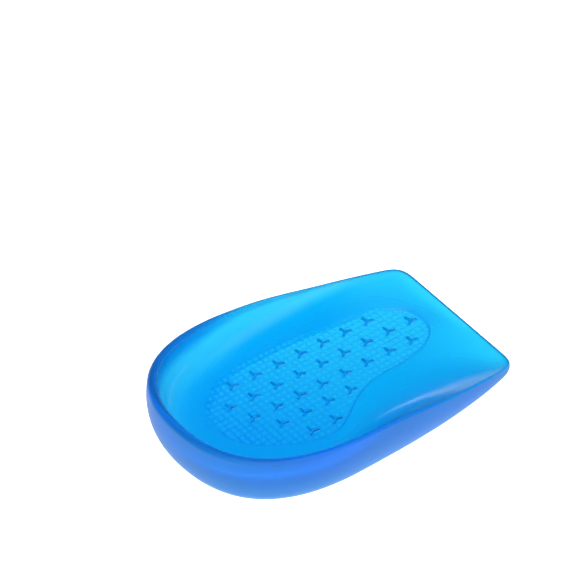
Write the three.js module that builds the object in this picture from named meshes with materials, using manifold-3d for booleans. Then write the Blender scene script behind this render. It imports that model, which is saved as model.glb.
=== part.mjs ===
// Corrective insole: a heel cup moulded in one piece of clear gel, with a wedge along one side,
// a thin front edge and a recessed footbed panel with small studs.
// Millimetres, +Z up. +Y runs from the heel to the front edge and +X to the wedge side.
// The origin is the middle of the flat sole. "Along" is measured from the rim's back at the heel.

import * as THREE from "three";
import { mergeVertices } from "three/addons/utils/BufferGeometryUtils.js";
import Module from "manifold-3d";

// Driving sizes of the rim's plan
const length = 100.4;
const heelBulge = 0.34; // how far the heel's wall swells out past the rim
const halfWidth = 32.9;
const heelX = -1.2; // the heel's back lies a little off the middle, away from the wedge
const widestAlong = 39.7;
const heelFullness = 0.647; // share of a quarter taken by its curve handles, 0.552 is a circle
const cornerSetback = 5.7;
const cornerFullness = 0.75;
const sides = {
  wedge: { sign: 1, cornerX: 26.1, taperDeg: 19 },
  plain: { sign: -1, cornerX: 28.3, taperDeg: 13 },
};

// Sections by their share of the rim's length: how far the sole's edge lies inside the rim, how
// much of the inner wall is the wedge's ramp, from 0 for a steep wall to 1, and for both sides the
// rim's height, how far the lip rounds over to the inside, in degrees from the outer wall, and how
// wide the lip is
const stations = [
  {
    share: 0, soleInset: 6, ramp: 0,
    wedgeRim: 18.5, wedgeLip: 176, wedgeLipWidth: 3,
    plainRim: 18.5, plainLip: 176, plainLipWidth: 3,
  },
  {
    share: 0.25, soleInset: 5.5, ramp: 0.25,
    wedgeRim: 17.6, wedgeLip: 160, wedgeLipWidth: 2.2,
    plainRim: 15.5, plainLip: 172, plainLipWidth: 2.6,
  },
  {
    share: 0.5, soleInset: 4.9, ramp: 0.9,
    wedgeRim: 15.8, wedgeLip: 138, wedgeLipWidth: 1.4,
    plainRim: 11.5, plainLip: 166, plainLipWidth: 0.9,
  },
  {
    share: 0.75, soleInset: 3.9, ramp: 1,
    wedgeRim: 10.6, wedgeLip: 118, wedgeLipWidth: 1.2,
    plainRim: 5.7, plainLip: 145, plainLipWidth: 0.5,
  },
  {
    share: 1, soleInset: 0.3, ramp: 1,
    wedgeRim: 1.9, wedgeLip: 92, wedgeLipWidth: 0.6,
    plainRim: 1.9, plainLip: 92, plainLipWidth: 0.6,
  },
];
const rampStart = 11; // the ramp fades in over this width from the middle of the heel and front
const lipRise = 0.5; // height of the lip's rounding as a share of its width

// Outer wall, as shares of the sole's inset: how far it rounds under at the sole, and its bulge
const underTuck = 0.22;
const wallBulge = 0.22;

// Inner wall: how far it keeps the lip's direction, as a share of its drop, and how far it runs
// level out of the panel, as a share of its width
const wallHold = 0.8;
const leastHold = 1;
const floorHold = { cup: 0.65, ramp: 0.4 };

// Footbed panel: a flat recess that leans a little to the wedge and thins to the front
const panelHeight = 3.6;
const panelRisePerX = 0.035;
const panelRisePerY = -0.02;
const recessDepth = 0.4;
const recessSlope = 0.5;
const panelHeel = { x: -1.5, along: 16.8 };
const panelEdge = {
  wedge: [
    { x: 17.2, along: 41, leaveX: 8, leaveAlong: 16.8, reachX: 17.2, reachAlong: 32 },
    { x: 6.3, along: 70, leaveX: 17.2, leaveAlong: 50, reachX: 6.3, reachAlong: 53 },
    { x: -6, along: 90.9, leaveX: 6.3, leaveAlong: 83, reachX: 2.5, reachAlong: 90.9 },
  ],
  plain: [
    { x: -20.3, along: 42, leaveX: -11.5, leaveAlong: 16.8, reachX: -20.3, reachAlong: 26 },
    { x: -18.4, along: 70, leaveX: -20.4, leaveAlong: 52, reachX: -19.4, reachAlong: 62 },
    { x: -6, along: 90.9, leaveX: -16.9, leaveAlong: 81, reachX: -14.5, reachAlong: 90.9 },
  ],
};

// Three-pronged studs in staggered rows along the panel, each row given by its first stud
const studPitch = 7.75;
const studRowLean = 0.03; // the rows drift to the wedge by this share of their run
const studRows = [
  { x: -15.5, along: 30.8, count: 7 },
  { x: -8.7, along: 25.2, count: 9 },
  { x: -1.6, along: 27.9, count: 8 },
  { x: 5.1, along: 32.7, count: 4 },
  { x: 12.5, along: 37.5, count: 2 },
];
const prongAnglesDeg = [70, 190, 310];
const prongReach = 1.9;
const prongHalfWidth = 0.2;
const studWaist = 0.34;
const studRise = 0.5;
const studRoot = 0.6;

// Fineness of the mesh
const pointsPerHalf = 54;
const outerSteps = 7;
const lipSteps = 4;
const innerSteps = 9;

const heelY = heelBulge - length / 2;
const frontY = length / 2;
const fromHeel = (along) => heelY + along;

// Smooth value of one column of the station table, with no overshoot between its rows
function stationValue(column, share) {
  const last = stations.length - 1;
  const stepOf = (i) => stations[i + 1].share - stations[i].share;
  const riseOf = (i) => (stations[i + 1][column] - stations[i][column]) / stepOf(i);
  const slopeAt = (i) => {
    if (i === 0) {
      return riseOf(0);
    }
    if (i === last) {
      return 1.5 * riseOf(last - 1) - 0.5 * riseOf(last - 2);
    }
    const product = riseOf(i - 1) * riseOf(i);
    return product > 0 ? (2 * product) / (riseOf(i - 1) + riseOf(i)) : 0;
  };
  const reached = stations.findIndex((row) => row.share >= share);
  const i = Math.max(0, (reached < 0 ? last : reached) - 1);
  const t = (share - stations[i].share) / stepOf(i);
  const ease = t * t * (3 - 2 * t);
  const leave = t * (1 - t) * (1 - t) * stepOf(i) * slopeAt(i);
  const arrive = t * t * (t - 1) * stepOf(i) * slopeAt(i + 1);
  return THREE.MathUtils.lerp(stations[i][column], stations[i + 1][column], ease) + leave + arrive;
}

// One half of the rim's plan, from the heel's back round one side to the middle of the front
function rimHalf({ sign, cornerX, taperDeg }) {
  const taper = Math.tan(THREE.MathUtils.degToRad(taperDeg));
  const widestY = fromHeel(widestAlong);
  const cornerY = frontY - cornerSetback;
  const handle = (cornerY - widestY) / 3;
  const tipX = cornerX - taper * cornerSetback;
  const frontMiddle = (sides.wedge.cornerX - sides.plain.cornerX) / 2;
  const path = new THREE.Path();
  path.moveTo(heelX, heelY);
  path.bezierCurveTo(
    THREE.MathUtils.lerp(heelX, sign * halfWidth, heelFullness), heelY,
    sign * halfWidth, widestY - heelFullness * widestAlong,
    sign * halfWidth, widestY,
  );
  path.bezierCurveTo(
    sign * halfWidth, widestY + handle,
    sign * (cornerX + taper * handle), cornerY - handle,
    sign * cornerX, cornerY,
  );
  path.bezierCurveTo(
    sign * (cornerX - cornerFullness * taper * cornerSetback), cornerY + cornerFullness * cornerSetback,
    sign * (tipX - (1 - cornerFullness) * cornerSetback), frontY,
    sign * (tipX - cornerSetback), frontY,
  );
  path.lineTo(frontMiddle, frontY);
  return path;
}

// One half of the panel's edge, from its heel end round one side to its front end
function panelHalf(rows) {
  const path = new THREE.Path();
  path.moveTo(panelHeel.x, fromHeel(panelHeel.along));
  for (const row of rows) {
    path.bezierCurveTo(
      row.leaveX, fromHeel(row.leaveAlong),
      row.reachX, fromHeel(row.reachAlong),
      row.x, fromHeel(row.along),
    );
  }
  return path;
}

function panelZ(x, y) {
  return panelHeight + panelRisePerX * x + panelRisePerY * y;
}

// Matching points of the rim and the panel's edge, once round from the heel by the wedge side
function plan() {
  const half = (side) => {
    const rim = rimHalf(sides[side]);
    const panel = panelHalf(panelEdge[side]);
    const { sign } = sides[side];
    return Array.from({ length: pointsPerHalf + 1 }, (_, i) => {
      const u = i / pointsPerHalf;
      const rimTangent = rim.getTangentAt(u);
      const panelTangent = panel.getTangentAt(u);
      return {
        rim: rim.getPointAt(u),
        outward: new THREE.Vector2(sign * rimTangent.y, -sign * rimTangent.x),
        panel: panel.getPointAt(u),
        panelOutward: new THREE.Vector2(sign * panelTangent.y, -sign * panelTangent.x),
      };
    });
  };
  const forth = half("wedge").slice(0, -1);
  const back = half("plain").slice(1).reverse();
  return [...forth, ...back];
}

const at = (plan2, z) => new THREE.Vector3(plan2.x, plan2.y, z);

// The section at one place of the plan: sole edge, outer wall, lip, inner wall and recess
function section({ rim, outward, panel, panelOutward }) {
  const share = (rim.y - heelY) / (frontY - heelY);
  const side = rim.x > heelX ? "wedge" : "plain";
  const rimZ = stationValue(side + "Rim", share);
  const lipTurn = THREE.MathUtils.degToRad(stationValue(side + "Lip", share));
  const inset = stationValue("soleInset", share);
  const ramp = stationValue("ramp", share) * THREE.MathUtils.smoothstep(rim.x, 0, rampStart);
  const lipWidth = stationValue(side + "LipWidth", share);
  const rise = lipRise * lipWidth;
  const lipZ = rimZ - rise;
  const inside = (depth) => rim.clone().addScaledVector(outward, -depth);

  // Rounded under at the sole, a slight bulge halfway up, upright at the lip
  const outer = new THREE.CubicBezierCurve3(
    at(inside(inset), 0),
    at(inside(underTuck * inset), 0),
    at(inside(-wallBulge * inset), lipZ / 2),
    at(rim, lipZ),
  ).getPoints(outerSteps);

  const lipPoint = (turn) =>
    at(inside((lipWidth / 2) * (1 - Math.cos(turn))), lipZ + rise * Math.sin(turn));
  const lip = Array.from({ length: lipSteps }, (_, i) => lipPoint((lipTurn * (i + 1)) / lipSteps));

  // The inner wall leaves the lip in the lip's own direction and runs out level at the panel
  const lipEnd = lip[lipSteps - 1];
  const lipHeading = at(
    outward.clone().multiplyScalar((-lipWidth / 2) * Math.sin(lipTurn)),
    rise * Math.cos(lipTurn),
  ).normalize();
  const edge = at(panel, panelZ(panel.x, panel.y) + recessDepth);
  const hold = Math.max(leastHold, wallHold * (lipEnd.z - edge.z));
  const level = THREE.MathUtils.lerp(floorHold.cup, floorHold.ramp, ramp);
  const inner = new THREE.CubicBezierCurve3(
    lipEnd,
    lipEnd.clone().addScaledVector(lipHeading, hold),
    at(panel.clone().lerp(new THREE.Vector2(lipEnd.x, lipEnd.y), level), edge.z),
    edge,
  ).getPoints(innerSteps).slice(1);

  const foot = panel.clone().addScaledVector(panelOutward, -recessSlope);
  return [...outer, ...lip, ...inner, at(foot, panelZ(foot.x, foot.y))];
}

// Closed skin from the sections: bands between neighbours, a flat sole and the panel's floor
function cupGeometry() {
  const sections = plan().map(section);
  const count = sections.length;
  const levels = sections[0].length;
  const index = [];
  const id = (i, level) => (i % count) * levels + level;
  for (let i = 0; i < count; i += 1) {
    for (let level = 0; level < levels - 1; level += 1) {
      index.push(id(i, level), id(i + 1, level), id(i + 1, level + 1));
      index.push(id(i, level), id(i + 1, level + 1), id(i, level + 1));
    }
  }
  const flat = (level) => sections.map((points) => new THREE.Vector2(points[level].x, points[level].y));
  for (const [a, b, c] of THREE.ShapeUtils.triangulateShape(flat(0), [])) {
    index.push(id(a, 0), id(c, 0), id(b, 0));
  }
  const top = levels - 1;
  for (const [a, b, c] of THREE.ShapeUtils.triangulateShape(flat(top), [])) {
    index.push(id(a, top), id(b, top), id(c, top));
  }
  const geometry = new THREE.BufferGeometry().setFromPoints(sections.flat());
  geometry.setIndex(index);
  return geometry;
}

// One stud: a short upright three-pronged star, rooted a little below the panel's floor
function studGeometry(x, along) {
  const star = new THREE.Shape();
  const halfGap = Math.PI / prongAnglesDeg.length;
  prongAnglesDeg.forEach((angleDeg, i) => {
    const angle = THREE.MathUtils.degToRad(angleDeg);
    const reach = new THREE.Vector2(Math.cos(angle), Math.sin(angle)).multiplyScalar(prongReach);
    const across = new THREE.Vector2(-Math.sin(angle), Math.cos(angle)).multiplyScalar(prongHalfWidth);
    const right = reach.clone().sub(across);
    const left = reach.clone().add(across);
    if (i === 0) {
      star.moveTo(right.x, right.y);
    } else {
      star.lineTo(right.x, right.y);
    }
    star.lineTo(left.x, left.y);
    star.lineTo(studWaist * Math.cos(angle + halfGap), studWaist * Math.sin(angle + halfGap));
  });
  star.closePath();
  const geometry = new THREE.ExtrudeGeometry(star, { depth: studRoot + studRise, bevelEnabled: false });
  const y = fromHeel(along);
  geometry.translate(x, y, panelZ(x, y) - studRoot);
  return geometry;
}

const wasm = await Module();
wasm.setup();

function toSolid(geometry) {
  const bare = geometry.clone();
  bare.deleteAttribute("normal");
  bare.deleteAttribute("uv");
  const merged = mergeVertices(bare);
  return new wasm.Manifold(new wasm.Mesh({
    numProp: 3,
    vertProperties: new Float32Array(merged.attributes.position.array),
    triVerts: new Uint32Array(merged.index.array),
  }));
}

function toGeometry(solid) {
  const mesh = solid.getMesh();
  const geometry = new THREE.BufferGeometry();
  geometry.setAttribute("position", new THREE.BufferAttribute(mesh.vertProperties, 3));
  geometry.setIndex(new THREE.BufferAttribute(mesh.triVerts, 1));
  geometry.computeVertexNormals();
  return geometry;
}

let body = toSolid(cupGeometry());
for (const row of studRows) {
  for (let i = 0; i < row.count; i += 1) {
    const run = i * studPitch;
    body = body.add(toSolid(studGeometry(row.x + studRowLean * run, row.along + run)));
  }
}

const clearBlueGel = new THREE.MeshStandardMaterial({
  color: 0x1296f0,
  roughness: 0.15,
  metalness: 0,
  transparent: true,
  opacity: 0.85,
});

const cup = new THREE.Mesh(toGeometry(body), clearBlueGel);
cup.name = "gel_heel_cup";

const insole = new THREE.Group();
insole.add(cup);

export default insole;
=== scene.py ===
import math

import bmesh
import bpy
import numpy as np
from mathutils import Matrix, Vector
from mathutils.geometry import delaunay_2d_cdt


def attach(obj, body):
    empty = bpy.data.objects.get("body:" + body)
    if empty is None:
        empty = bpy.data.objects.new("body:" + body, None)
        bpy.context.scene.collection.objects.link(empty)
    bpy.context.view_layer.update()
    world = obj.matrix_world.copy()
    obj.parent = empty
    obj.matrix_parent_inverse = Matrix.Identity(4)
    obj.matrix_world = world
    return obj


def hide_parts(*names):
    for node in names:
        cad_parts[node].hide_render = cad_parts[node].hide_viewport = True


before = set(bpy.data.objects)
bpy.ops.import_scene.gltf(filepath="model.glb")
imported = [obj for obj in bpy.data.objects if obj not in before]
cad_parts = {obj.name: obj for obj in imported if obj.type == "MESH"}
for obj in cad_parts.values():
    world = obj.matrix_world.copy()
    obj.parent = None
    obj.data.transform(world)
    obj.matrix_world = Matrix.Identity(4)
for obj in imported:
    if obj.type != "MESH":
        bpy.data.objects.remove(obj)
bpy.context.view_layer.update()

scene = bpy.context.scene
mm = 0.001
cm3 = 1e-6


def linear(hexColour):
    channels = [int(hexColour[i:i + 2], 16) / 255 for i in (1, 3, 5)]
    return [c / 12.92 if c <= 0.04045 else ((c + 0.055) / 1.055) ** 2.4 for c in channels] + [1]


def addNode(tree, kind, settings={}, inputs={}):
    node = tree.nodes.new(kind)
    for name, value in settings.items():
        setattr(node, name, value)
    for name, value in inputs.items():
        if isinstance(value, bpy.types.NodeSocket):
            tree.links.new(value, node.inputs[name])
        else:
            node.inputs[name].default_value = value
    return node


def newMaterial(name):
    material = bpy.data.materials.new(name)
    material.use_nodes = True
    material.node_tree.nodes.clear()
    return material


def toObject(bm, name, material):
    mesh = bpy.data.meshes.new(name)
    bm.to_mesh(mesh)
    bm.free()
    mesh.materials.append(material)
    piece = bpy.data.objects.new(name, mesh)
    scene.collection.objects.link(piece)
    return piece


def only(items, kind):
    return [item for item in items if isinstance(item, kind)]


# plan and sections of the cup in mm, heel at -Y, wedge on +X
# "along" runs from the back of the rim at the heel
# the sections go by their share of the rim's length
cup = {
    "length": 100.4,
    "heelBulge": 0.34,  # the heel wall swells out past the rim
    "halfWidth": 32.9,
    "heelX": -1.2,
    "widestAlong": 39.7,
    "heelFullness": 0.647,
    "cornerSetback": 5.7,
    "cornerFullness": 0.75,
    "sides": {
        "wedge": {"sign": 1, "cornerX": 26.1, "taperDeg": 19},
        "plain": {"sign": -1, "cornerX": 28.3, "taperDeg": 13},
    },
    "sections": {
        "share": (0, 0.25, 0.5, 0.75, 1),
        "wedgeRim": (18.5, 17.6, 15.8, 10.6, 1.9),
        "plainRim": (18.5, 15.5, 11.5, 5.7, 1.9),
        "soleInset": (6, 5.5, 4.9, 3.9, 0.3),
        "wedgeLip": (176, 160, 138, 118, 92),  # degrees the lip rolls over to the inside
        "plainLip": (176, 172, 166, 145, 92),
        "wedgeLipWidth": (3, 2.2, 1.4, 1.2, 0.6),
        "plainLipWidth": (3, 2.6, 0.9, 0.5, 0.6),
        "ramp": (0, 0.25, 0.9, 1, 1),  # 0 is a steep inner wall, 1 the wedge's ramp
        "wedgeOutside": (0.35, 0.42, 0.45, 0.5, 0.6),  # painted shade: share of the deep tint on the outside
        "plainOutside": (0.35, 0.2, 0.2, 0.2, 0.5),
        "wedgeShoulder": (0.1, 0.2, 0.05, 0, 0),  # more painted shade under the lip
        "plainShoulder": (0.1, 0, 0, 0, 0),
        "wedgeDeep": (0.37, 0.55, 0.47, 0.35, 0.4),  # painted shade on the lip
        "plainDeep": (0.37, 0.4, 0.1, 0.1, 0.4),
        "wedgeFade": (10, 12, 20, 20, 9),  # rings in which that fades inside the lip
        "plainFade": (10, 11, 5, 5, 9),
        "wedgeClear": (0.1, 0, 0, 0, 0.1),  # painted light: share of the thin tint on the lip
        "plainClear": (0.1, 0.1, 0.5, 0.5, 0.1),
        "wedgeThin": (10, 10, 10, 10, 6),  # mm from the rim in which the painted light fades down the wall
        "plainThin": (13, 12, 6.5, 6, 6),
    },
    "endBend": 0.5,  # how much of their last bend the sections keep at the front
    "rampStart": 11,
    "lipRise": 0.5,  # as a share of its width
    "underTuck": 0.22,  # shares of the sole inset
    "wallBulge": 0.22,
    "wallHold": 0.8,
    "leastHold": 1,
    "floorHold": {"cup": 0.65, "ramp": 0.4},
    "thinBelow": 5,  # height under which the front takes the thin tint, painted light
    "flapRun": (65, 90),  # along, where the sides of the panel run out into the thin front flap
    "skinRings": 12,  # in which the outside's painted shade and dullness come in above the sole
    "lipShade": (0.5, 1.5),  # how far the lip's painted shade has come where the lip starts, and its rate
    "hollowShade": 0.22,  # painted shade: share of the deep tint in the thick hollow at the foot of the wall
    "rampMilk": 0.4,  # how much less clear the thick wedge is inside the lip
    "rampSatin": 0.25,  # share of the outside's dullness just inside the lip
    "curveSamples": 200,
    "stationsPerHalf": 192,
    "outerSteps": 24,
    "lipSteps": 12,
    "innerSteps": 44,
}

# recessed footbed panel, leaning a little to the wedge and thinning to the front
panel = {
    "height": 3.6,
    "risePerX": 0.035,
    "risePerY": -0.02,
    "recessDepth": 0.4,
    "recessSlope": 0.5,
    "recessSteps": 4,
    "plainSoft": 1.2,  # the step runs out softly on the plain side
    "plainEnd": 87,  # along, where it is crisp again
    "heel": (-1.5, 16.8),
    # each row is two curve handles and an end point, as x and along
    "wedge": (
        ((8, 16.8), (17.2, 32), (17.2, 41)),
        ((17.2, 50), (6.3, 53), (6.3, 70)),
        ((6.3, 83), (2.5, 90.9), (-6, 90.9)),
    ),
    "plain": (
        ((-11.5, 16.8), (-20.3, 26), (-20.3, 42)),
        ((-20.4, 52), (-19.4, 62), (-18.4, 70)),
        ((-16.9, 81), (-14.5, 90.9), (-6, 90.9)),
    ),
    "gridPitch": 2.0,  # the fine square grid pressed into the floor
    "gridGroove": 0.4,
    "gridRelief": 0.35,
    "gridUneven": (0.65, 1.1),  # shallowest and deepest line, as shares of the relief
    "gridScatter": (12.9898, 78.233, 39.425, 43758.5453),  # mixed for each stretch's own depth
    "gridShade": (0.65, 0.28),  # painted shade: share of the deep tint on the lines, at the heel and at the front
    "floorShade": (0.04, 0),  # painted shade on the squares between them
    "shadeRun": (20, 55),  # along, where the heel's shade changes to the front's
    "recessShade": (0.45, 0.1),  # painted shade on the step, at the wedge side and at the plain side
    "gridSpread": 3,  # how far the grid runs on up the plain side's wall
    "stepsPerCell": 6,
    "margin": 0.25,  # flat strip between the grid and whatever borders it
    "insideOnly": 1,  # the floor's net stays inside its outline
    "touching": 1e-6,  # nearness at which two of its points are one
}

# three-pronged studs in staggered rows
stud = {
    "pitch": 7.75,
    "lean": 0.03,  # the rows drift to the wedge by this share of their run
    # x and along of a row's first stud, with a count
    "rows": (
        (-15.5, 30.8, 7),
        (-8.7, 25.2, 9),
        (-1.6, 27.9, 8),
        (5.1, 32.7, 4),
        (12.5, 37.5, 2),
    ),
    "anglesDeg": (70, 190, 310),
    "reach": 1.9,
    "halfWidth": 0.2,
    "waist": 0.34,
    "rise": 0.5,
    "tipRound": 0.13,
    "topRound": 0.11,
    "roundSteps": 2,
    "roundProfile": 0.5,  # part of a circle
    "footNormal": -0.9,  # a foot looks down at least this much
    "shade": (0.35, 0.3),  # painted shade: share of the deep tint on its middle and on its tips
}

heelY = cup["heelBulge"] - cup["length"] / 2
frontY = cup["length"] / 2


def soft(share):
    share = np.clip(share, 0, 1)
    return share ** 2 * (3 - 2 * share)


# 0 up to the middle, then rising softly to 1
def secondHalf(share):
    return soft(2 * share - 1)


def bezier(a, b, c, d, t):
    return (1 - t) ** 3 * a + 3 * (1 - t) ** 2 * t * b + 3 * (1 - t) * t ** 2 * c + t ** 3 * d


# points at even spacing along a chain of curve pieces
def evenPath(pieces, count):
    t = np.linspace(0, 1, cup["curveSamples"])[:, None]
    points = np.vstack([bezier(*np.array(piece, float), t) for piece in pieces])
    run = np.append(0, np.cumsum(np.linalg.norm(np.diff(points, axis=0), axis=1)))
    stops = np.linspace(0, run[-1], count + 1)
    return np.column_stack([np.interp(stops, run, points[:, axis]) for axis in (0, 1)])


# from the heel's back to the middle of the front in four curve pieces, the last one straight
def rimHalf(side):
    sign, cornerX = side["sign"], side["cornerX"]
    taper = math.tan(math.radians(side["taperDeg"]))
    setback, full, heelX = cup["cornerSetback"], cup["cornerFullness"], cup["heelX"]
    widestX, widestY = sign * cup["halfWidth"], heelY + cup["widestAlong"]
    cornerY = frontY - setback
    handle = (cornerY - widestY) / 3
    tipX = cornerX - taper * setback
    middleX = (cup["sides"]["wedge"]["cornerX"] - cup["sides"]["plain"]["cornerX"]) / 2
    quarter = (
        (heelX, heelY),
        (heelX + (widestX - heelX) * cup["heelFullness"], heelY),
        (widestX, widestY - cup["heelFullness"] * cup["widestAlong"]),
        (widestX, widestY),
    )
    flank = (
        (widestX, widestY),
        (widestX, widestY + handle),
        (sign * (cornerX + taper * handle), cornerY - handle),
        (sign * cornerX, cornerY),
    )
    corner = (
        (sign * cornerX, cornerY),
        (sign * (cornerX - full * taper * setback), cornerY + full * setback),
        (sign * (tipX - (1 - full) * setback), frontY),
        (sign * (tipX - setback), frontY),
    )
    frontX = np.linspace(sign * (tipX - setback), middleX, len(corner))
    return quarter, flank, corner, [(x, frontY) for x in frontX]


def panelHalf(rows):
    start, pieces = panel["heel"], []
    for leave, reach, end in rows:
        pieces.append([(x, heelY + along) for x, along in (start, leave, reach, end)])
        start = end
    return pieces


# once round from the heel by the wedge side
def closedLoop(wedgeHalf, plainHalf):
    count = cup["stationsPerHalf"]
    return np.vstack([evenPath(wedgeHalf, count)[:-1], evenPath(plainHalf, count)[:0:-1]])


def outwardOf(loop):
    along = np.roll(loop, -1, axis=0) - np.roll(loop, 1, axis=0)
    along /= np.linalg.norm(along, axis=1)[:, None]
    return np.column_stack([along[:, 1], -along[:, 0]])


# smooth value of one column of the section table, without overshoot between its rows
def sectionValue(column, share):
    stops, value = (np.array(cup["sections"][name], float) for name in ("share", column))
    rise, bend = np.diff(value) / np.diff(stops), cup["endBend"]
    slope = np.zeros(len(value))
    slope[0], slope[-1] = rise[0], (1 + bend) * rise[-1] - bend * rise[-2]
    for i in range(1, len(value) - 1):
        if rise[i - 1] * rise[i] > 0:
            slope[i] = 2 * rise[i - 1] * rise[i] / (rise[i - 1] + rise[i])
    i = np.clip(np.searchsorted(stops, share) - 1, 0, len(stops) - 2)
    step = stops[i + 1] - stops[i]
    t = (share - stops[i]) / step
    leave = t * (1 - t) ** 2 * step * slope[i]
    arrive = t ** 2 * (t - 1) * step * slope[i + 1]
    return value[i] + (value[i + 1] - value[i]) * t ** 2 * (3 - 2 * t) + leave + arrive


def shareAt(rim):
    return (rim[:, 1] - heelY) / (frontY - heelY)


def sideValue(column, rim):
    wedge, plain = (sectionValue(side + column, shareAt(rim)) for side in ("wedge", "plain"))
    return np.where(rim[:, 0] > cup["heelX"], wedge, plain)


# how far the wedge's ramp takes the place of the inner wall
def rampAt(rim):
    return sectionValue("ramp", shareAt(rim)) * soft(rim[:, 0] / cup["rampStart"])


# 1 along the plain side of the panel, 0 along the wedge side and the ends
def plainSide(edge):
    aside = np.clip(-edge[:, 0] / panel["gridSpread"] - 1, 0, 1)
    return aside * np.clip((panel["plainEnd"] + heelY - edge[:, 1]) / panel["gridSpread"], 0, 1)


def panelZ(x, y):
    return panel["height"] + panel["risePerX"] * x + panel["risePerY"] * y


def at(plan, z):
    return np.column_stack([plan, np.broadcast_to(z, len(plan))])


# rings of the cup from the sole's edge over the lip to the foot of the recess, each once round
def cupRings():
    sides = cup["sides"]
    rim = closedLoop(rimHalf(sides["wedge"]), rimHalf(sides["plain"]))
    edge = closedLoop(panelHalf(panel["wedge"]), panelHalf(panel["plain"]))
    outward, edgeOutward = outwardOf(rim), outwardOf(edge)
    brim = edge + edgeOutward * panel["plainSoft"] * plainSide(edge)[:, None]
    rimZ, lipTurn = sideValue("Rim", rim), np.radians(sideValue("Lip", rim))
    halfLip = sideValue("LipWidth", rim) / 2
    inset = sectionValue("soleInset", shareAt(rim))
    rise = 2 * halfLip * cup["lipRise"]
    lipZ = rimZ - rise

    def inside(depth):
        return rim - outward * depth[:, None]

    # rounded under at the sole, slight bulge halfway up, upright at the lip
    low, tuck = at(inside(inset), 0), at(inside(cup["underTuck"] * inset), 0)
    swell, top = at(inside(-cup["wallBulge"] * inset), lipZ / 2), at(rim, lipZ)
    rings = [bezier(low, tuck, swell, top, t) for t in np.linspace(0, 1, cup["outerSteps"] + 1)]

    # lip rolled over to the inside
    for part in np.linspace(0, 1, cup["lipSteps"] + 1)[1:]:
        turn = lipTurn * part
        rings.append(at(inside(halfLip * (1 - np.cos(turn))), lipZ + rise * np.sin(turn)))

    # inner wall leaves the lip in the lip's own direction and runs out level at the panel
    lipEnd = rings[-1]
    heading = at(outward * (-halfLip * np.sin(lipTurn))[:, None], rise * np.cos(lipTurn))
    heading /= np.linalg.norm(heading, axis=1)[:, None]
    edgeZ = panelZ(brim[:, 0], brim[:, 1]) + panel["recessDepth"]
    hold = np.maximum(cup["leastHold"], cup["wallHold"] * (lipEnd[:, 2] - edgeZ))[:, None]
    steep, sloping = cup["floorHold"]["cup"], cup["floorHold"]["ramp"]
    level = (steep + (sloping - steep) * rampAt(rim))[:, None]
    runOut = at(brim + (lipEnd[:, :2] - brim) * level, edgeZ)
    for t in np.linspace(0, 1, cup["innerSteps"] + 1)[1:]:
        rings.append(bezier(lipEnd, lipEnd + heading * hold, runOut, at(brim, edgeZ), t))

    # soft step down into the recess
    for s in np.linspace(0, 1, panel["recessSteps"] + 1)[1:]:
        foot = brim + (edge - edgeOutward * panel["recessSlope"] - brim) * s
        drop = panel["recessDepth"] * s ** 2 * (3 - 2 * s)
        rings.append(at(foot, panelZ(foot[:, 0], foot[:, 1]) + panel["recessDepth"] - drop))
    return rings


def insideLoop(points, loop):
    inside = np.zeros(len(points), bool)
    for a, b in zip(loop, np.roll(loop, -1, axis=0)):
        crosses = (a[1] > points[:, 1]) != (b[1] > points[:, 1])
        lean = (b[0] - a[0]) / (b[1] - a[1]) if b[1] != a[1] else 0
        inside ^= crosses & (points[:, 0] < a[0] + lean * (points[:, 1] - a[1]))
    return inside


def studPlaces():
    for x, firstAlong, count in stud["rows"]:
        for run in stud["pitch"] * np.arange(count):
            yield x + stud["lean"] * run, heelY + firstAlong + run


# distance of plan points from the middle lines of a stud's three prongs
def prongDistance(points, place):
    nearest = np.full(len(points), np.inf)
    for angle in np.radians(stud["anglesDeg"]):
        prong = np.array([math.cos(angle), math.sin(angle)])
        offset = points - place
        reach = np.clip(offset @ prong, 0, stud["reach"])
        nearest = np.minimum(nearest, np.linalg.norm(offset - reach[:, None] * prong, axis=1))
    return nearest


# about 1 on the lines of the fine grid and 0 inside its squares
# each stretch of a line is a little different
def grooveDepth(points):
    cells = points[:, :2] / panel["gridPitch"]
    line = np.round(cells)
    fromLine = np.abs(cells - line) * panel["gridPitch"]
    alongX = fromLine[:, 1] < fromLine[:, 0]
    across = np.where(alongX, line[:, 1], line[:, 0])
    stretch = np.floor(np.where(alongX, cells[:, 0], cells[:, 1]))
    byLine, byStretch, byHeading, spread = panel["gridScatter"]
    uneven = np.sin(byLine * across + byStretch * stretch + byHeading * alongX) * spread % 1
    shallow, deep = panel["gridUneven"]
    depth = shallow + (deep - shallow) * uneven
    return np.exp(-(fromLine.min(axis=1) / panel["gridGroove"]) ** 2) * depth


# painted shade, deeper at the heel, where the gel is also thick
def panelShade(name, y):
    return np.interp(y - heelY, panel["shadeRun"], panel[name])


# painted light in thin low places: the front flap and the front of the panel
def lowThin(z):
    return soft(1 - z / cup["thinBelow"])


# painted light, the same with the thin wall round the heel and the plain side
def thinness(ring, rim):
    away = np.linalg.norm((ring - rim)[:, :2], axis=1) / sideValue("Thin", rim)
    wall = soft(1 - away) * (1 - rampAt(rim))
    low = lowThin(ring[:, 2]) * soft(np.interp(ring[:, 1] - heelY, cup["flapRun"], (0, 1)))
    return wall + low - wall * low


# what the gel reads from the mesh: share of the deep tint (painted shade),
# share of the thin tint (painted light), share of the dull outside, share of milkiness
paint = ("shade", "thin", "satin", "milk")


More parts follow.
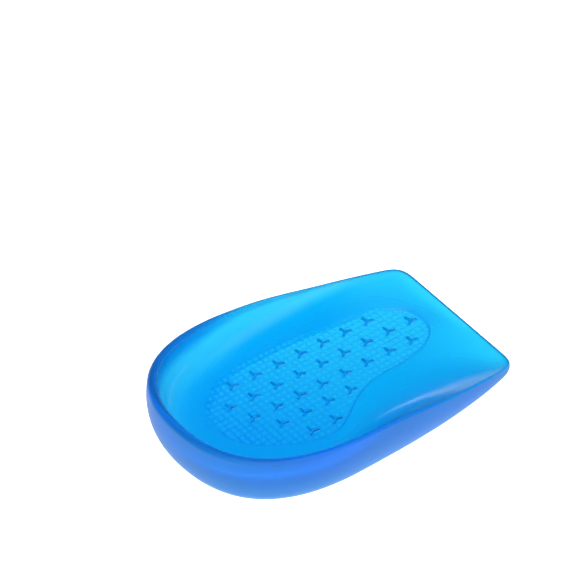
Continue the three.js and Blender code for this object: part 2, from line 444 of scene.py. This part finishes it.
# the outer skin grows ring by ring from a circle at the sole
def growCup(bm, rings):
    station = bm.verts.layers.int.new("station")
    layers = [bm.verts.layers.float.new(name) for name in paint]
    circle = bmesh.ops.create_circle(bm, segments=len(rings[0]), radius=1)["verts"]
    for i, vert in enumerate(circle):
        vert[station] = i
        vert.co = rings[0][i]
    up = np.array([0, 0, 1])
    ringEdges = bm.edges[:]
    bmesh.ops.triangle_fill(bm, edges=ringEdges, use_beauty=True)  # flat sole
    lip, wall = cup["outerSteps"], cup["outerSteps"] + cup["lipSteps"]
    recess = len(rings) - panel["recessSteps"]
    rim, edge = rings[lip], rings[recess - 1]
    ramp = rampAt(rim)
    outside, shoulder, deep, fade, clear = (
        sideValue(name, rim) for name in ("Outside", "Shoulder", "Deep", "Fade", "Clear")
    )
    lipShaded, lipRate = cup["lipShade"]
    for level, ring in enumerate(rings[1:], 1):
        grown = bmesh.ops.extrude_edge_only(bm, edges=ringEdges)["geom"]
        verts = set(only(grown, bmesh.types.BMVert))
        away = np.linalg.norm(ring - edge, axis=1) / panel["gridSpread"] if level < recess else 0
        groove = grooveDepth(ring) * np.clip(1 - away, 0, 1) * plainSide(edge)

        skin = soft(level / cup["skinRings"])
        onLip = soft((level - lip) / cup["lipSteps"] * lipRate + lipShaded)
        overLip = soft((level - lip) / cup["lipSteps"])
        inner = soft((level - wall) / fade)
        # painted shade: outside, more under the lip, on the lip and in the hollow at the wall's
        # foot
        below = (outside + shoulder * secondHalf(level / lip)) * skin
        hollow = cup["hollowShade"] * secondHalf((level - wall) / cup["innerSteps"]) * (1 - ramp)
        shade = below * (1 - onLip) + deep * onLip * (1 - inner) + hollow
        # painted shade on the step into the recess, then on the grid's lines
        if level >= recess:
            shade = np.interp(plainSide(edge), (0, 1), panel["recessShade"])
        shade = np.maximum(panelShade("gridShade", ring[:, 1]) * groove, shade)
        # painted light where the walls and the front are thin, and on the lip
        thin = thinness(ring, rim) * np.maximum(inner, clear * onLip)
        satin = skin * (1 - overLip) + cup["rampSatin"] * overLip * (1 - inner)
        milk = cup["rampMilk"] * ramp * overLip * (1 - inner)
        for vert in verts:
            i = vert[station]
            vert.co = ring[i] - up * panel["gridRelief"] * groove[i]
            for layer, value in zip(layers, (shade, thin, satin, milk)):
                vert[layer] = value[i]
        edges = only(grown, bmesh.types.BMEdge)
        ringEdges = [item for item in edges if all(vert in verts for vert in item.verts)]


# one stud from a nine-sided face: tips rounded, drawn up, top edge rounded
def makeStud(bm):
    halfGap = math.pi / len(stud["anglesDeg"])
    star = []
    for angle in np.radians(stud["anglesDeg"]):
        tip = Vector((math.cos(angle), math.sin(angle), 0)) * stud["reach"]
        across = Vector((-math.sin(angle), math.cos(angle), 0)) * stud["halfWidth"]
        waist = Vector((math.cos(angle + halfGap), math.sin(angle + halfGap), 0)) * stud["waist"]
        star += [tip - across, tip + across, waist]
    corners = bmesh.ops.create_circle(bm, segments=len(star), radius=1, cap_ends=True)["verts"]
    for vert, place in zip(corners, star):
        vert.co = place
    rounding = {
        "offset_type": "OFFSET", "material": -1,
        "segments": stud["roundSteps"], "profile": stud["roundProfile"],
    }
    bmesh.ops.bevel(bm, geom=corners, offset=stud["tipRound"], affect="VERTICES", **rounding)
    top = bmesh.ops.extrude_face_region(bm, geom=bm.faces[:])["geom"]
    bmesh.ops.translate(bm, verts=only(top, bmesh.types.BMVert), vec=(0, 0, stud["rise"]))
    topEdges = only(top, bmesh.types.BMEdge)
    bmesh.ops.bevel(bm, geom=topEdges, offset=stud["topRound"], affect="EDGES", **rounding)
    bmesh.ops.recalc_face_normals(bm, faces=bm.faces[:])


# sets a copy of the stud at every place and gives back their flat feet
def setStuds(bm):
    seed = bmesh.new()
    makeStud(seed)
    shape = bpy.data.meshes.new("stud")
    seed.to_mesh(shape)
    seed.free()
    shade = bm.verts.layers.float["shade"]
    run = (stud["waist"], stud["reach"])
    for x, y in studPlaces():
        known = len(bm.verts)
        bm.from_mesh(shape)
        bm.verts.ensure_lookup_table()
        for vert in bm.verts[known:]:
            # painted shade, darker in the stud's middle than at its tips
            vert[shade] = np.interp(vert.co.xy.length, run, stud["shade"])
            vert.co += Vector((x, y, panelZ(x + vert.co.x, y + vert.co.y)))
    bpy.data.meshes.remove(shape)
    bm.normal_update()
    starSides = 3 * len(stud["anglesDeg"])  # a foot has more, since its tips are rounded
    lookDown = [face for face in bm.faces if face.normal.z < stud["footNormal"]]
    return [face for face in lookDown if len(face.verts) > starSides]


# floor of the panel: grid points pressed into small pillows, joined to the recess and the studs
def layPanel(bm, recess, feet):
    margin, cell = panel["margin"], panel["gridPitch"] / panel["stepsPerCell"]
    rim = [edge for edge in bm.edges if edge.is_boundary]
    border = {vert: None for item in rim + feet for vert in item.verts}
    index = {vert: i for i, vert in enumerate(border)}
    low, high = recess.min(0), recess.max(0)
    columns, rows = (
        np.arange(math.ceil(low[axis] / cell), high[axis] / cell) * cell for axis in (0, 1)
    )
    points = np.array([(x, y) for x in columns for y in rows])
    keep = insideLoop(points, recess[:, :2] - outwardOf(recess[:, :2]) * margin)
    for place in studPlaces():
        keep &= prongDistance(points, place) > stud["halfWidth"] + margin
        keep &= np.linalg.norm(points - place, axis=1) > stud["waist"] + margin
    verts = list(border)
    shade, thin = (bm.verts.layers.float[name] for name in ("shade", "thin"))
    for (x, y), groove in zip(points[keep], grooveDepth(points[keep])):
        vert = bm.verts.new((x, y, panelZ(x, y) - panel["gridRelief"] * groove))
        # painted shade on the grid's lines and toward the heel, painted light where the front is
        # thin
        vert[shade] = panelShade("floorShade", y) + panelShade("gridShade", y) * groove
        vert[thin] = lowThin(vert.co.z)
        verts.append(vert)
    _, _, triangles, madeFrom, _, feetAbove = delaunay_2d_cdt(
        [vert.co.xy for vert in verts],
        [[index[vert] for vert in edge.verts] for edge in rim],
        [[index[vert] for vert in reversed(face.verts)] for face in feet],
        panel["insideOnly"], panel["touching"],
    )
    for corners, underStud in zip(triangles, feetAbove):
        if not underStud:
            bm.faces.new([verts[madeFrom[i][0]] for i in corners])
    bmesh.ops.delete(bm, geom=feet, context="FACES_ONLY")


def makeCup(material):
    bm = bmesh.new()
    rings = cupRings()
    growCup(bm, rings)
    layPanel(bm, rings[-1], setStuds(bm))
    left = [edge for edge in bm.edges if not edge.is_manifold]
    print("open or doubled edges left on the cup:", len(left))
    bmesh.ops.scale(bm, vec=(mm, mm, mm), verts=bm.verts[:])
    bmesh.ops.recalc_face_normals(bm, faces=bm.faces[:])
    for face in bm.faces:
        face.smooth = True
    print("cup volume in cm3:", round(bm.calc_volume(signed=True) / cm3, 2))
    return toObject(bm, "gelCup", material)


# cast silicone gel: clear and soft, glossy off the mould with faint ripples
# light loses its red in the first millimetres, so thin walls are cyan and thick ones deep blue;
# painted light and painted shade in the base colour add to this
gel = {
    "tint": "#00C4EA",
    "litThroughTint": "#60FFFF",  # painted light: lighter cyan where light shines through the thin walls, the lip and the front flap
    "shadeTint": "#0050E4",  # painted shade: outside, under and on the lip, in the hollow at the wall's foot, on the step, the studs and the lines of the grid
    "clear": 0.7,  # the rest is milky
    "absorb": "#00F0FE",
    "absorbPerM": 450,
    "ior": 1.41,
    "milkShine": 0.04,  # the milky share hardly mirrors
    "roughness": (0.12, 0.2),
    "satinRoughness": 0.45,  # outside, where the mould was blasted
    "patch": 9,  # mm, size of the duller patches
    "patchDetail": 3,
    "patchBreakup": 0.6,
    "patchRange": (0.35, 0.7),  # of the noise, from the glossy places to the dull ones
    "ripple": 4,  # mm, from one ripple of the mould to the next
    "rippleDetail": 1,
    "rippleHeight": 0.015,
}


def castGel():
    material = newMaterial("castSiliconeGel")
    tree = material.node_tree
    place = addNode(tree, "ShaderNodeTexCoord").outputs["Object"]
    patch = addNode(tree, "ShaderNodeTexNoise", {}, {
        "Vector": place, "Scale": 1 / (gel["patch"] * mm),
        "Detail": gel["patchDetail"], "Roughness": gel["patchBreakup"],
    })
    dull = addNode(tree, "ShaderNodeMapRange", {}, {
        "Value": patch.outputs["Fac"],
        "From Min": gel["patchRange"][0], "From Max": gel["patchRange"][1],
        "To Min": gel["roughness"][0], "To Max": gel["roughness"][1],
    })
    ripple = addNode(tree, "ShaderNodeTexNoise", {}, {
        "Vector": place, "Scale": 1 / (gel["ripple"] * mm), "Detail": gel["rippleDetail"],
    })
    bump = addNode(tree, "ShaderNodeBump", {}, {
        "Height": ripple.outputs["Fac"], "Distance": gel["rippleHeight"] * mm, "Strength": 1,
    })
    shade, thin, satin, milk = (
        addNode(tree, "ShaderNodeAttribute", {"attribute_name": name}).outputs["Fac"]
        for name in paint
    )
    # painted light in the thin places and painted shade from the mesh, mixed into the base colour
    tint = addNode(tree, "ShaderNodeMix", {"data_type": "RGBA"}, {
        "Factor": thin, "A": linear(gel["tint"]), "B": linear(gel["litThroughTint"]),
    })
    colour = addNode(tree, "ShaderNodeMix", {"data_type": "RGBA"}, {
        "Factor": shade, "A": tint.outputs["Result"], "B": linear(gel["shadeTint"]),
    })
    roughness = addNode(tree, "ShaderNodeMix", {"data_type": "FLOAT"}, {
        "Factor": satin, "A": dull.outputs["Result"], "B": gel["satinRoughness"],
    })
    clear = addNode(tree, "ShaderNodeMapRange", {}, {
        "Value": milk, "To Min": gel["clear"], "To Max": 0,
    })
    skin = addNode(tree, "ShaderNodeBsdfPrincipled", {}, {
        "Base Color": colour.outputs["Result"], "Roughness": roughness.outputs["Result"],
        "IOR": gel["ior"], "Specular IOR Level": gel["milkShine"],
        "Transmission Weight": clear.outputs["Result"], "Normal": bump.outputs["Normal"],
    })
    depth = addNode(tree, "ShaderNodeVolumeAbsorption", {}, {
        "Color": linear(gel["absorb"]), "Density": gel["absorbPerM"],
    })
    addNode(tree, "ShaderNodeOutputMaterial", {}, {
        "Surface": skin.outputs["BSDF"], "Volume": depth.outputs["Volume"],
    })
    return material


gelCup = makeCup(castGel())
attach(gelCup, "root")
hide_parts("gel_heel_cup")
print("gel cup made:", len(gelCup.data.polygons), "faces")

# plain pale table top and a soft studio round it
studio = {
    "floorColour": "#F4F5F6",
    "floorGlow": 1.2,
    "floorRoughness": 0.9,
    "floorShine": 0.1,
    "floorSize": 4,  # m
    "floorDrop": 0.3,  # mm under the sole
    "worldColour": "#FFFFFF",
    "dim": 0.1,  # strength of the room, and of the big soft light to one side
    "bright": 2.5,
    "brightHeading": (0.68, -0.2, 0.7),
    "brightSpread": 0.5,  # cosine of the angle at which it has faded into the room
}


# opal acrylic lit from below, as for photographs of clear things: even white, hardly a shadow
def opalTable():
    material = newMaterial("opalAcrylicTable")
    tree = material.node_tree
    skin = addNode(tree, "ShaderNodeBsdfPrincipled", {}, {
        "Base Color": linear(studio["floorColour"]),
        "Roughness": studio["floorRoughness"], "Specular IOR Level": studio["floorShine"],
        "Emission Color": linear(studio["floorColour"]), "Emission Strength": studio["floorGlow"],
    })
    addNode(tree, "ShaderNodeOutputMaterial", {}, {"Surface": skin.outputs["BSDF"]})
    return material


def makeStudio():
    bm = bmesh.new()
    bmesh.ops.create_grid(bm, x_segments=1, y_segments=1, size=studio["floorSize"] / 2)
    bmesh.ops.translate(bm, verts=bm.verts[:], vec=(0, 0, -studio["floorDrop"] * mm))
    toObject(bm, "floor", opalTable())
    world = bpy.data.worlds.new("studio")
    world.use_nodes = True
    tree = world.node_tree
    tree.nodes.clear()
    heading = addNode(tree, "ShaderNodeTexCoord").outputs["Generated"]
    facing = addNode(tree, "ShaderNodeVectorMath", {"operation": "DOT_PRODUCT"}, {
        0: heading, 1: studio["brightHeading"],
    })
    glow = addNode(tree, "ShaderNodeMapRange", {"interpolation_type": "SMOOTHSTEP"}, {
        "Value": facing.outputs["Value"], "From Min": studio["brightSpread"], "From Max": 1,
        "To Min": studio["dim"], "To Max": studio["bright"],
    })
    sky = addNode(tree, "ShaderNodeBackground", {}, {
        "Color": linear(studio["worldColour"]), "Strength": glow.outputs["Result"],
    })
    addNode(tree, "ShaderNodeOutputWorld", {}, {"Surface": sky.outputs["Background"]})
    scene.world = world


makeStudio()
print("studio set")

# camera worked back from the photograph, distances in mm
shot = {
    "azimuthDeg": 52.51,
    "elevationDeg": 44.66,
    "distance": 833.3,
    "target": (-1.155, 0.18, 0),
    "targetPixel": (318.64, 394.28),
    "frame": 576,  # pixels
    "focal": 2991.7,  # in pixels
    # light crosses many walls of gel on its way
    "bounces": {"max_bounces": 32, "transmission_bounces": 24, "glossy_bounces": 12},
}


def makeCamera():
    azimuth, elevation = math.radians(shot["azimuthDeg"]), math.radians(shot["elevationDeg"])
    look = Vector((
        -math.sin(azimuth) * math.cos(elevation),
        math.cos(azimuth) * math.cos(elevation),
        -math.sin(elevation),
    ))
    right = Vector((math.cos(azimuth), math.sin(azimuth), 0))
    up = right.cross(look)
    # turn the aim so that the target falls on its pixel without any lens shift
    half = shot["frame"] / 2
    aside, upward = half - shot["targetPixel"][0], shot["targetPixel"][1] - half
    aim = look * shot["focal"] + right * aside + up * upward
    data = bpy.data.cameras.new("shot")
    data.lens = shot["focal"] / shot["frame"] * data.sensor_width
    camera = bpy.data.objects.new("shot", data)
    level = Matrix((right, up, -look)).transposed().to_quaternion()
    camera.rotation_mode = "QUATERNION"
    camera.rotation_quaternion = look.rotation_difference(aim) @ level
    camera.location = (Vector(shot["target"]) - look * shot["distance"]) * mm
    scene.collection.objects.link(camera)
    scene.camera = camera


makeCamera()
scene.view_settings.view_transform = "Standard"
for name, count in shot["bounces"].items():
    setattr(scene.cycles, name, count)
print("camera set")
